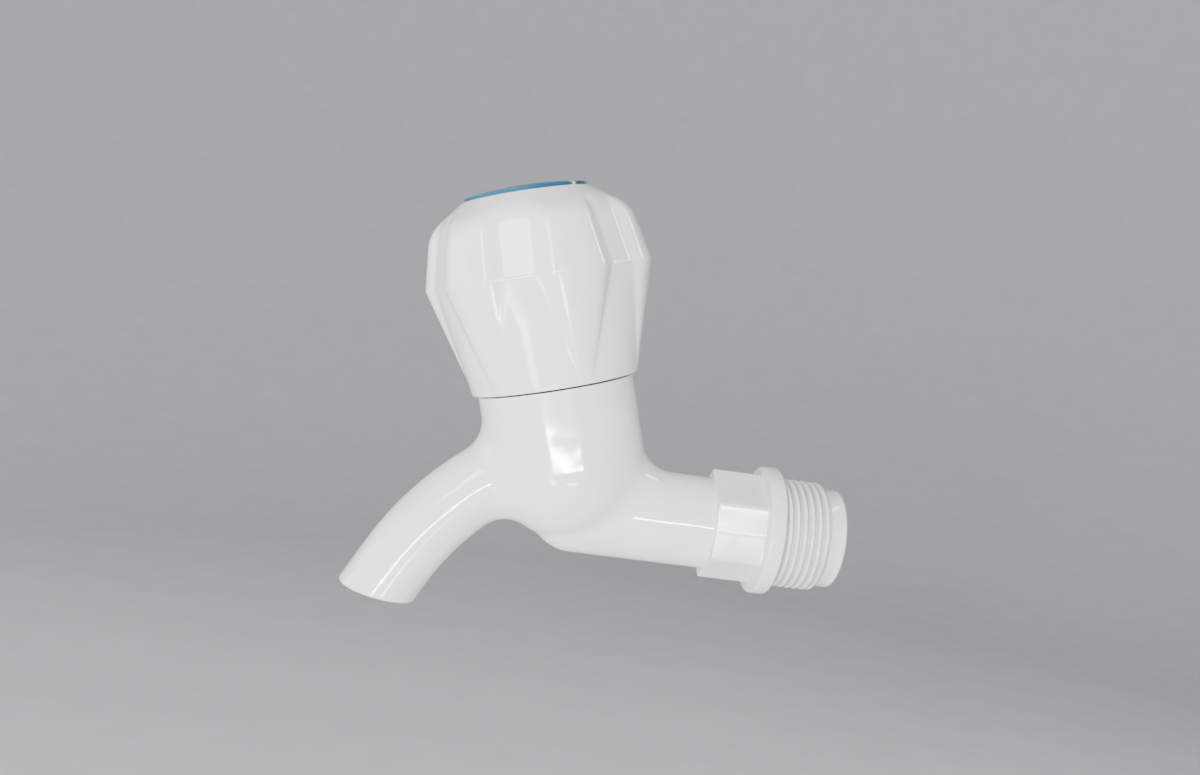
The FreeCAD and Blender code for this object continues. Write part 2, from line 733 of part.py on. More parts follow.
def make_spindle():
    """Rising spindle: collar, thread, plain shaft and the knob's square."""
    top_of_plate = valve_levels()[1]
    foot = top_of_plate + size("thrust_gap")
    collar_top = foot + size("collar_thick")
    thread_top = size("nut_thread_top")
    shoulder = size("square_from")
    tip = shoulder + size("square_length")
    body = new_body("spindle", seat_place())
    spin(body, "blank", [
        (ZERO, foot), (half("collar_d"), foot), (half("collar_d"), collar_top),
        (half("spindle_thread_d"), collar_top), (half("spindle_thread_d"), thread_top),
        (half("shaft_d"), thread_top), (half("shaft_d"), shoulder), (ZERO, shoulder)])
    prism(body, "square", 4, size("square_side"), shoulder, size("square_length"))
    stem = half("stem_d") + size("stem_gap")
    stem_top = valve_levels()[2] + size("end_gap")
    bore(body, "stem_hole", [(ZERO, foot), (stem, foot), (stem, stem_top), (ZERO, stem_top)])
    screw = half("knob_screw_d") + size("screw_gap")
    screw_foot = knob_screw_seat() - size("knob_screw_length") - size("end_gap")
    bore(body, "screw_hole", [(ZERO, screw_foot), (screw, screw_foot), (screw, tip), (ZERO, tip)])
    return body


# Knob

def knob_levels():
    """Heights of the knob's rim, widest level, top corner and disc seat."""
    rim = size("neck_top") + size("knob_gap")
    crown = rim + size("crown_rise")
    return rim, rim + size("wide_rise"), crown, crown + size("dome_rise")


def well_floor_top():
    """Height of the floor that the knob's washer sits on."""
    return size("square_from") + size("square_length") + size("end_gap")


def knob_screw_seat():
    """Height of the knob screw's bearing face."""
    return well_floor_top() + size("knob_washer_thick")


def polar(radius, angle, height):
    """A point at a radius, an angle in radians and a height."""
    return FreeCAD.Vector(radius * math.cos(angle), radius * math.sin(angle), height)


def lobed_wire(height, tip, floor, half_angle, is_round):
    """Closed outline of lobes and flutes; at the round rim both lie on one circle."""
    count = int(mm("lobe_count"))
    step = 2 * math.pi / count
    first = math.radians(mm("flute_turn") - 90)
    edges = []
    for i in range(count):
        middle = first + i * step
        left = polar(floor, middle - half_angle, height)
        right = polar(floor, middle + half_angle, height)
        nextleft = polar(floor, middle + step - half_angle, height)
        if is_round:
            edges.append(Part.Arc(left, polar(floor, middle, height), right).toShape())
        else:
            edges.append(Part.LineSegment(left, right).toShape())
        edges.append(Part.Arc(right, polar(tip, middle + step / 2, height), nextleft).toShape())
    return Part.Wire(edges)


def lobed_solid(inset):
    """The lobed double taper from the rim up past the top corner, drawn in by an inset."""
    rim, wide, crown, seat = [level.number for level in knob_levels()]
    half_flute = mm("flute_width") / 2
    rim_r = mm("rim_d") / 2 - inset
    lean = (mm("crown_d") - mm("wide_d")) / 2 / (crown - wide)
    floor_lean = (mm("flute_crown_d") - mm("flute_floor_d")) / 2 / (crown - wide)
    top = seat + mm("disc_thick")
    levels = ((wide, 0.0), (top, top - wide))
    wires = [lobed_wire(rim, rim_r, rim_r, math.radians(mm("flute_rim_angle")), True)]
    for height, above in levels:
        tip = mm("wide_d") / 2 + lean * above - inset
        flat = mm("flute_floor_d") / 2 + floor_lean * above - inset
        corner = math.hypot(flat, half_flute)
        wires.append(lobed_wire(height, tip, corner, math.atan2(half_flute, flat), False))
    return Part.makeLoft(wires, True, True)


def turned_solid(corners):
    """A solid of revolution about Z from (radius, height) corners."""
    spots = [FreeCAD.Vector(radius, 0, height) for radius, height in corners]
    outline = Part.makePolygon(spots + [spots[0]])
    return Part.Face(outline).revolve(FreeCAD.Vector(0, 0, 0), UP, 360)


def knob_envelope():
    """The dome that trims the lobes' tops."""
    rim, _, crown, seat = [level.number for level in knob_levels()]
    wide = mm("wide_d")
    land = mm("land_d") / 2
    slope = mm("dome_rise") / (mm("crown_d") / 2 - land)
    outer_drop = (wide - mm("crown_d") / 2) * slope
    return turned_solid([(0, rim), (wide, rim), (wide, crown - outer_drop), (land, seat), (0, seat)])


def knob_hollow():
    """The open inside of the knob's shell, round the boss and the well."""
    rim, _, _, seat = [level.number for level in knob_levels()]
    ceiling = seat - mm("disc_seat") - mm("knob_roof")
    well_floor = well_floor_top().number
    column = mm("well_d") / 2 + mm("well_wall")
    boss = mm("boss_d") / 2
    wide = mm("wide_d")
    below_roof = turned_solid([(0, rim), (wide, rim), (wide, ceiling), (0, ceiling)])
    room = lobed_solid(mm("knob_wall")).common(below_roof)
    block = turned_solid([
        (0, mm("square_from")), (boss, mm("square_from")), (boss, well_floor - mm("well_floor")),
        (column, well_floor - mm("well_floor")), (column, seat), (0, seat)])
    return room.cut(block)


def knob_top_hollow():
    """The disc's seat, the screw's well and the hole for the spindle's square."""
    seat = knob_levels()[3].number
    disc = mm("disc_d") / 2 + mm("disc_gap")
    floor = seat - mm("disc_seat")
    well, well_floor = mm("well_d") / 2, well_floor_top().number
    recess = turned_solid([(0, well_floor), (well, well_floor), (well, floor), (disc, floor),
                           (disc, seat + mm("disc_thick")), (0, seat + mm("disc_thick"))])
    side = mm("square_side") + 2 * mm("square_gap")
    square = Part.makeBox(side, side, well_floor - mm("square_from") + mm("end_gap"),
                          FreeCAD.Vector(-side / 2, -side / 2, mm("square_from") - mm("end_gap")))
    return recess.fuse(square)


def make_knob():
    """Six-lobed hand wheel, hollow from below."""
    outside = lobed_solid(0.0).common(knob_envelope())
    shape = outside.cut(knob_hollow()).cut(knob_top_hollow())
    knob = DOC.addObject("Part::Feature", "knob")
    knob.Label = "knob"
    knob.Shape = shape
    knob.Placement = seat_place()
    MADE.append(knob)
    return knob


def make_knob_washer():
    """Washer under the knob screw's head."""
    floor = well_floor_top()
    return sleeve("knob_washer", half("knob_washer_d"), half("knob_screw_d") + size("shaft_gap"),
                  floor, floor + size("knob_washer_thick"), seat_place())


def make_knob_screw():
    """Screw that holds the knob on the spindle's square."""
    return make_screw("knob_screw", size("knob_screw_head_d"), size("knob_screw_head"),
                      size("knob_screw_d"), size("knob_screw_length"), knob_screw_seat(), True)


def make_index_disc():
    """Thin domed disc that closes the knob's top, with a plug in the well."""
    floor = knob_levels()[3] - size("disc_seat")
    edge = floor + size("disc_thick")
    top = edge + size("disc_dome")
    plug = half("well_d") - size("disc_gap")
    inside = plug - size("plug_wall")
    foot = floor - size("disc_plug")
    body = new_body("index_disc", seat_place())
    spin(body, "disc", [
        (ZERO, floor), (inside, floor), (inside, foot), (plug, foot), (plug, floor),
        (half("disc_d"), floor), (half("disc_d"), edge), (half("disc_flat_d"), top), (ZERO, top)])
    return body


def check_and_write():
    """Recompute, stop on any fault, and write one file for each piece."""
    DOC.recompute()
    for item in DOC.Objects:
        if "Invalid" in item.State or "Error" in item.State:
            raise RuntimeError("%s failed: %s" % (item.Name, item.State))
    for item in MADE:
        shape = item.Shape
        if shape.isNull() or not shape.isValid():
            raise RuntimeError("%s has no valid shape" % item.Label)
        print("%-16s solids %d  volume %9.1f" % (item.Label, len(shape.Solids), shape.Volume))
    os.makedirs("parts", exist_ok=True)
    for item in MADE:
        item.Shape.exportStep("parts/%s.step" % item.Label)


def main():
    """Make every piece and write it."""
    make_tap_body()
    make_inlet_nipple()
    make_bonnet()
    make_gasket()
    make_packing()
    make_follower()
    make_gland_nut()
    make_seat_washer()
    make_jumper()
    make_washer_screw()
    make_spindle()
    make_knob()
    make_knob_washer()
    make_knob_screw()
    make_index_disc()
    check_and_write()


main()
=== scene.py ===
"""Looks of the bib tap: finishes, moulded skins, stage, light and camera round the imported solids.

Lengths in the size classes are millimetres; every object is made in metres, in the CAD's frame.
The inlet's axis is +X, +Z is up, and the head leans towards the spout at -X.
"""

import json
import logging
import math
from dataclasses import dataclass
from enum import Enum
from typing import Dict, List, Optional, Sequence, Tuple

import bmesh
import bpy
from mathutils import Matrix, Vector, noise


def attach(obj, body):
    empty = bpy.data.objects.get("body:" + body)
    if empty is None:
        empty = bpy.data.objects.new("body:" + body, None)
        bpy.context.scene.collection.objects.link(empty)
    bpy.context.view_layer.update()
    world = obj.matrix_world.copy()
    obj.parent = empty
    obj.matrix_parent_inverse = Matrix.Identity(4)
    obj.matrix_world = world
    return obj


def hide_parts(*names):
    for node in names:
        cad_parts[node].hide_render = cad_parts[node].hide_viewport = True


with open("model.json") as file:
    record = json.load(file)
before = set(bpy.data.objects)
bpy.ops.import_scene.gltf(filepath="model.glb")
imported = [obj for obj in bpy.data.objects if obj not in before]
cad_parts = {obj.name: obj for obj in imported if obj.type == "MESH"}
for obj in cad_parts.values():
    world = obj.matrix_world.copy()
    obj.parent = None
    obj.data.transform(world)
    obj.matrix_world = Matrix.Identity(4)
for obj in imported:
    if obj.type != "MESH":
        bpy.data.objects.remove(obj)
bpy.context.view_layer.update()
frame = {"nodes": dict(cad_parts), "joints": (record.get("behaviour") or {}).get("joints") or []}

LOG = logging.getLogger("bib_tap")
MM = 0.001

Ring = List[Vector]
Corner = Tuple[float, float, float]


class Slot(Enum):
    """The record's material slots."""

    BODY = "body_plastic"
    ADAPTOR = "adaptor_plastic"
    KNOB = "knob_plastic"
    DISC = "disc_blue"
    HEAD = "head_plastic"
    RUBBER = "rubber"
    BRASS = "brass"
    STEEL = "steel"


class Body(Enum):
    """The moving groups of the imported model."""

    HOUSING = "housing"
    VALVE = "valve"
    HANDLE = "handle"


# Finishes

class Nodes:
    """A short way to wire a material's node tree."""

    def __init__(self, material: bpy.types.Material) -> None:
        """Clear the tree and keep it.

        Args:
            material: the material whose tree is built.
        """
        self.tree = material.node_tree
        self.tree.nodes.clear()

    def add(self, kind: str, **values: object) -> bpy.types.Node:
        """Add a node and set its properties or unlinked inputs.

        Args:
            kind: the node's type name without its prefix.
            values: property or input names, with spaces written as underscores.

        Returns:
            The new node.
        """
        node = self.tree.nodes.new("ShaderNode" + kind)
        for key, value in values.items():
            if hasattr(node, key):
                setattr(node, key, value)
            else:
                node.inputs[key.replace("_", " ")].default_value = value
        return node

    def link(self, source: bpy.types.NodeSocket, target: bpy.types.NodeSocket) -> None:
        """Join an output to an input.

        Args:
            source: the output socket.
            target: the input socket.
        """
        self.tree.links.new(source, target)

    def noise(self, where: bpy.types.NodeSocket, scale: float, detail: float) -> bpy.types.NodeSocket:
        """A noise of a given scale.

        Args:
            where: the coordinates.
            scale: cells for each metre.
            detail: number of octaves.

        Returns:
            The noise value's socket.
        """
        node = self.add("TexNoise", Scale=scale, Detail=detail)
        self.link(where, node.inputs["Vector"])
        return node.outputs["Fac"]

    def ramp(self, value: bpy.types.NodeSocket, low: float, high: float,
             first: Sequence[float], last: Sequence[float]) -> bpy.types.NodeSocket:
        """Blend two colours over a stretch of a value.

        Args:
            value: what drives the blend.
            low: the value where the first colour ends.
            high: the value where the last colour starts.
            first: the colour at the low end.
            last: the colour at the high end.

        Returns:
            The colour's socket.
        """
        node = self.add("ValToRGB")
        node.color_ramp.elements[0].position = low
        node.color_ramp.elements[1].position = high
        node.color_ramp.elements[0].color = (*first, 1.0)
        node.color_ramp.elements[1].color = (*last, 1.0)
        self.link(value, node.inputs["Fac"])
        return node.outputs["Color"]

    def spread(self, value: bpy.types.NodeSocket, low: float, high: float) -> bpy.types.NodeSocket:
        """Map a noise from its usual 0.3 to 0.7 onto a new range.

        Args:
            value: the noise.
            low: the new lowest value.
            high: the new highest value.

        Returns:
            The mapped value's socket.
        """
        node = self.add("MapRange", From_Min=0.3, From_Max=0.7, To_Min=low, To_Max=high)
        self.link(value, node.inputs["Value"])
        return node.outputs["Result"]

    def bump(self, height: bpy.types.NodeSocket, distance: float, strength: float,
             before: Optional[bpy.types.NodeSocket] = None) -> bpy.types.NodeSocket:
        """Bend the surface's normal by a height.

        Args:
            height: the height's socket.
            distance: the height in metres that a value of one stands for.
            strength: how much of the bump is used.
            before: a normal that the bump is added to.

        Returns:
            The new normal's socket.
        """
        node = self.add("Bump", Distance=distance, Strength=strength)
        self.link(height, node.inputs["Height"])
        if before is not None:
            self.link(before, node.inputs["Normal"])
        return node.outputs["Normal"]


@dataclass(frozen=True)
class Plastic:
    """A glossy moulded plastic.

    Args:
        slot: the record's slot that it paints.
        tint: its colour where the skin is thick.
        shade: its colour where the melt flowed unevenly.
        gloss: lowest and highest roughness.
        glow: how much light scatters under the skin.
        wave: depth in metres of the slow unevenness left by cooling.
        specks: share of the surface with dust specks in the moulding.
    """

    slot: Slot
    tint: Tuple[float, float, float]
    shade: Tuple[float, float, float]
    gloss: Tuple[float, float] = (0.07, 0.14)
    glow: float = 0.12
    wave: float = 0.00016
    specks: float = 0.0

    FLOW_SCALE = 55.0
    SMEAR_SCALE = 160.0
    WAVE_SCALE = 90.0
    PEEL_SCALE = 2200.0
    PEEL_DEPTH = 0.000012
    SPECK_SCALE = 95.0
    SPECK_COLOUR = (0.24, 0.23, 0.21, 1.0)

    def make(self) -> bpy.types.Material:
        """Build the material.

        Returns:
            The finished material.
        """
        material = bpy.data.materials.new(self.slot.value)
        material.use_nodes = True
        nodes = Nodes(material)
        where = nodes.add("TexCoord").outputs["Object"]
        shader = nodes.add("BsdfPrincipled", IOR=1.5, Subsurface_Weight=self.glow,
                           Subsurface_Radius=(0.9, 0.85, 0.8), Subsurface_Scale=0.0025)
        flow = nodes.noise(where, self.FLOW_SCALE, 3.0)
        colour = nodes.ramp(flow, 0.35, 0.68, self.shade, self.tint)
        if self.specks > 0:
            colour = self.add_specks(nodes, where, colour)
        # painted shade: finishes that have it darken their deep places here, such as the thread's roots
        colour = self.painted_shade(nodes, where, colour)
        nodes.link(colour, shader.inputs["Base Color"])
        smear = nodes.noise(where, self.SMEAR_SCALE, 4.0)
        nodes.link(nodes.spread(smear, *self.gloss), shader.inputs["Roughness"])
        slow = nodes.bump(nodes.noise(where, self.WAVE_SCALE, 1.5), self.wave, 0.6)
        peel = nodes.bump(nodes.noise(where, self.PEEL_SCALE, 2.0), self.PEEL_DEPTH, 0.25, slow)
        nodes.link(peel, shader.inputs["Normal"])
        out = nodes.add("OutputMaterial")
        nodes.link(shader.outputs["BSDF"], out.inputs["Surface"])
        return material

    def painted_shade(self, nodes: Nodes, where: bpy.types.NodeSocket,
             colour: bpy.types.NodeSocket) -> bpy.types.NodeSocket:
        """Leave the colour as it is; a finish that paints shade into its deep places darkens it here."""
        return colour

    def add_specks(self, nodes: Nodes, where: bpy.types.NodeSocket,
                   colour: bpy.types.NodeSocket) -> bpy.types.NodeSocket:
        """Sprinkle a few dark specks.

        Args:
            nodes: the tree being built.
            where: the coordinates.
            colour: the colour without specks.

        Returns:
            The colour with specks.
        """
        cells = nodes.add("TexVoronoi", Scale=self.SPECK_SCALE, Randomness=1.0)
        nodes.link(where, cells.inputs["Vector"])
        dot = nodes.add("MapRange", From_Min=0.030, From_Max=0.055, To_Min=1.0, To_Max=0.0)
        nodes.link(cells.outputs["Distance"], dot.inputs["Value"])
        chosen = nodes.add("SeparateColor")
        nodes.link(cells.outputs["Color"], chosen.inputs["Color"])
        rare = nodes.add("Math", operation="LESS_THAN")
        nodes.link(chosen.outputs["Red"], rare.inputs[0])
        rare.inputs[1].default_value = self.specks
        both = nodes.add("Math", operation="MULTIPLY")
        nodes.link(dot.outputs["Result"], both.inputs[0])
        nodes.link(rare.outputs["Value"], both.inputs[1])
        mix = nodes.add("Mix", data_type="RGBA")
        nodes.link(both.outputs["Value"], mix.inputs["Factor"])
        nodes.link(colour, mix.inputs["A"])
        mix.inputs["B"].default_value = self.SPECK_COLOUR
        return mix.outputs["Result"]


@dataclass(frozen=True)
class RootShadePaintedPlastic(Plastic):
    """Clearer plastic with painted shade in the roots of its thread, darker by radius from the inlet's axis.

    Args:
        span: radius in metres where the ramp of painted shade ends.
        shade_stops: radius in metres and painted shade level of each stop from the bore out to the crests.
        start: where the thread starts along the inlet, in metres.
        end: where it ends.
    """

    span: float = 0.02
    shade_stops: Tuple[Tuple[float, float], ...] = ((0.0112, 1.0), (0.0117, 0.60), (0.0122, 0.62), (0.0131, 1.0))
    start: float = 0.0
    end: float = 0.0121

    ON_THREAD = 0.001

    def painted_shade(self, nodes: Nodes, where: bpy.types.NodeSocket,
             colour: bpy.types.NodeSocket) -> bpy.types.NodeSocket:
        """Paint shade into the thread's roots, only along the threaded stretch.

        Args:
            nodes: the tree being built.
            where: the coordinates.
            colour: the colour without the painted shade.

        Returns:
            The colour with the painted shade.
        """
        parts, section = nodes.add("SeparateXYZ"), nodes.add("CombineXYZ")
        nodes.link(where, parts.inputs["Vector"])
        nodes.link(parts.outputs["Y"], section.inputs["Y"])
        nodes.link(parts.outputs["Z"], section.inputs["Z"])
        radius = nodes.add("VectorMath", operation="LENGTH")
        nodes.link(section.outputs["Vector"], radius.inputs[0])
        share = nodes.add("Math", operation="DIVIDE")
        nodes.link(radius.outputs["Value"], share.inputs[0])
        share.inputs[1].default_value = self.span
        # painted shade: the ramp darkens the colour at the thread's roots, by radius
        ramp = nodes.add("ValToRGB")
        for radial, painted_shade in self.shade_stops[1:-1]:
            ramp.color_ramp.elements.new(radial / self.span).color = (painted_shade, painted_shade, painted_shade, 1.0)
        for stop, (radial, painted_shade) in ((0, self.shade_stops[0]), (-1, self.shade_stops[-1])):
            ramp.color_ramp.elements[stop].position = radial / self.span
            ramp.color_ramp.elements[stop].color = (painted_shade, painted_shade, painted_shade, 1.0)
        nodes.link(share.outputs["Value"], ramp.inputs["Fac"])
        along = nodes.add("MapRange", From_Min=self.start, From_Max=self.end)
        nodes.link(parts.outputs["X"], along.inputs["Value"])
        from_ends = nodes.add("Math", operation="PINGPONG")
        nodes.link(along.outputs["Result"], from_ends.inputs[0])
        from_ends.inputs[1].default_value = 0.5
        inside = nodes.add("Math", operation="GREATER_THAN")
        nodes.link(from_ends.outputs["Value"], inside.inputs[0])
        inside.inputs[1].default_value = self.ON_THREAD
        mix = nodes.add("Mix", data_type="RGBA", blend_type="MULTIPLY")
        nodes.link(inside.outputs["Value"], mix.inputs["Factor"])
        nodes.link(colour, mix.inputs["A"])
        nodes.link(ramp.outputs["Color"], mix.inputs["B"])
        return mix.outputs["Result"]


@dataclass(frozen=True)
class Rubber:
    """Black rubber with a fine dusty grain.

    Args:
        slot: the record's slot that it paints.
    """

    slot: Slot = Slot.RUBBER

    def make(self) -> bpy.types.Material:
        """Build the material.

        Returns:
            The finished material.
        """
        material = bpy.data.materials.new(self.slot.value)
        material.use_nodes = True
        nodes = Nodes(material)
        where = nodes.add("TexCoord").outputs["Object"]
        shader = nodes.add("BsdfPrincipled", IOR=1.52)
        dust = nodes.noise(where, 420.0, 5.0)
        nodes.link(nodes.ramp(dust, 0.4, 0.75, (0.018, 0.018, 0.019), (0.055, 0.053, 0.05)),
                   shader.inputs["Base Color"])
        nodes.link(nodes.spread(dust, 0.5, 0.75), shader.inputs["Roughness"])
        nodes.link(nodes.bump(nodes.noise(where, 1800.0, 3.0), 0.00003, 0.5),
                   shader.inputs["Normal"])
        out = nodes.add("OutputMaterial")
        nodes.link(shader.outputs["BSDF"], out.inputs["Surface"])
        return material


@dataclass(frozen=True)
class TurnedMetal:
    """Metal with fine rings from the lathe.

    Args:
        slot: the record's slot that it paints.
        tint: its clean colour.
        dull: its colour where it has dulled.
        ring_scale: rings for each metre along the head's axis.
    """

    slot: Slot
    tint: Tuple[float, float, float]
    dull: Tuple[float, float, float]
    ring_scale: float = 2600.0

    def make(self) -> bpy.types.Material:
        """Build the material.

        Returns:
            The finished material.
        """
        material = bpy.data.materials.new(self.slot.value)
        material.use_nodes = True
        nodes = Nodes(material)
        where = nodes.add("TexCoord").outputs["Object"]
        shader = nodes.add("BsdfPrincipled", Metallic=1.0)
        stain = nodes.noise(where, 300.0, 4.0)
        nodes.link(nodes.ramp(stain, 0.35, 0.7, self.dull, self.tint),
                   shader.inputs["Base Color"])
        nodes.link(nodes.spread(stain, 0.22, 0.4), shader.inputs["Roughness"])
        rings = nodes.add("TexNoise", Scale=1.0, Detail=2.0)
        squash = nodes.add("Mapping", vector_type="POINT")
        squash.inputs["Rotation"].default_value = (0.0, HEAD.tilt, 0.0)
        squash.inputs["Scale"].default_value = (60.0, 60.0, self.ring_scale)
        nodes.link(where, squash.inputs["Vector"])
        nodes.link(squash.outputs["Vector"], rings.inputs["Vector"])
        nodes.link(nodes.bump(rings.outputs["Fac"], 0.00002, 0.5), shader.inputs["Normal"])
        out = nodes.add("OutputMaterial")
        nodes.link(shader.outputs["BSDF"], out.inputs["Surface"])
        return material


# Geometry helpers

class HeadFrame:
    """The frame of the head: zero at the valve seat's face, +Z up the head's axis."""

    def __init__(self) -> None:
        """Read the axis and the seat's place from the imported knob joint."""
        joint = next(j for j in frame["joints"] if j["name"] == "knob_turn")
        self.axis = Vector(joint["axis"]).normalized()
        self.seat = Vector(joint["pos_m"])
        self.tilt = math.atan2(-self.axis.x, self.axis.z)
        across = Vector((self.axis.z, 0.0, -self.axis.x))
        self.matrix = Matrix.Translation(self.seat) @ Matrix(
            (across, Vector((0.0, 1.0, 0.0)), self.axis)).transposed().to_4x4()


HEAD = HeadFrame()


def rounded(corners: Sequence[Corner], steps: int = 5, closed: bool = True) -> List[Tuple[float, float]]:
    """Round the corners of an outline with short arcs, always in the same number of points.

    Args:
        corners: radius, height and rounding of each corner.
        steps: points on each arc, less one.
        closed: whether the outline joins up.

    Returns:
        The outline's points.
    """
    points = []
    count = len(corners)
    for i, (radius, height, rounding) in enumerate(corners):
        here = Vector((radius, height))
        if rounding <= 0 or (not closed and i in (0, count - 1)):
            points.append((radius, height))
            continue
        before = Vector(corners[i - 1][:2]) - here
        after = Vector(corners[(i + 1) % count][:2]) - here
        half = before.angle(after) / 2
        reach = min(rounding / math.tan(half), before.length * 0.45, after.length * 0.45)
        start, end = here + before.normalized() * reach, here + after.normalized() * reach
        for k in range(steps + 1):
            t = k / steps
            spot = start.lerp(here, t).lerp(here.lerp(end, t), t)
            points.append((spot.x, spot.y))
    return points


def divided(points: Sequence[Tuple[float, float]], counts: Sequence[int]) -> List[Tuple[float, float]]:
    """Add points on chosen stretches of an outline.

    Args:
        points: the outline.
        counts: pieces that each stretch is cut into.

    Returns:
        The outline with the added points.
    """
    result = []
    for i, point in enumerate(points):
        after = points[(i + 1) % len(points)]
        pieces = counts[i] if i < len(counts) else 1
        for k in range(pieces):
            t = k / pieces
            result.append((point[0] + (after[0] - point[0]) * t, point[1] + (after[1] - point[1]) * t))
    return result


def smooth_loop(values: Sequence[float], reach: float, step: float) -> List[float]:
    """Even out a closed row of values with a bell-shaped window.

    Args:
        values: the row.
        reach: the window's spread, in the same unit as the step.
        step: the distance between two values.

    Returns:
        The evened row.
    """
    span = max(1, int(math.ceil(3 * reach / step)))
    weights = [math.exp(-0.5 * (k * step / reach) ** 2) for k in range(-span, span + 1)]
    total = sum(weights)
    count = len(values)
    return [sum(w * values[(i + k - span) % count] for k, w in enumerate(weights)) / total
            for i in range(count)]


class Skin:
    """A mesh made of rings that are joined one to the next."""

    def __init__(self, name: str, rings: Sequence[Ring], closed: bool) -> None:
        """Build the mesh object.

        Args:
            name: the object's name.
            rings: rings of points, all of one length.
            closed: whether the last ring joins the first.
        """
        width = len(rings[0])
        verts = [point * MM for ring in rings for point in ring]
        faces = []
        last = len(rings) if closed else len(rings) - 1
        for i in range(last):
            j = (i + 1) % len(rings)
            for k in range(width):
                m = (k + 1) % width
                faces.append((i * width + k, i * width + m, j * width + m, j * width + k))
        if not closed:
            faces.append(tuple(range(width - 1, -1, -1)))
            base = (len(rings) - 1) * width
            faces.append(tuple(range(base, base + width)))
        mesh = bpy.data.meshes.new(name)
        mesh.from_pydata(verts, [], faces)
        mesh.validate()
        mesh.update()
        mesh.shade_smooth()
        self.object = bpy.data.objects.new(name, mesh)
        bpy.context.collection.objects.link(self.object)

    def dress(self, slot: Slot, material: bpy.types.Material, body: Body, *nodes: str) -> bpy.types.Object:
        """Give the piece its finish and its body, and hide the nodes that it stands for.

        Args:
            slot: the record's slot; not used.
            material: the finish.
            body: the body that it rides on.
            nodes: the CAD nodes that it replaces.

        Returns:
            The object.
        """
        self.object.data.materials.append(material)
        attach(self.object, body.value)
        if nodes:
            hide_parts(*nodes)
        return self.object


# Knob

@dataclass
class KnobSizes:
    """Sizes of the knob, above the valve seat where they are heights."""

    rim: float = 17.5
    wide: float = 43.4
    crown: float = 56.4
    seat: float = 62.3
    rim_r: float = 19.8
    wide_r: float = 27.05
    crown_r: float = 24.1
    flute_r: float = 24.4
    flute_crown_r: float = 21.35
    flute_half: float = 4.3
    flute_rim_angle: float = 26.5
    lobes: int = 6
    turn: float = -13.5
    wall: float = 2.6
    roof: float = 4.0
    land_r: float = 15.3
    disc_r: float = 14.7
    disc_seat: float = 0.5
    well_r: float = 7.5
    well_wall: float = 2.5
    well_floor: float = 52.8
    well_floor_thick: float = 3.5
    boss_r: float = 7.0
    boss_foot: float = 41.0
    square_half: float = 2.85
    crown_round: float = 8.0
    wide_round: float = 1.8
    rim_round: float = 0.35
    land_round: float = 0.8
    flute_soft: float = 0.55
    lobe_power: float = 3.6


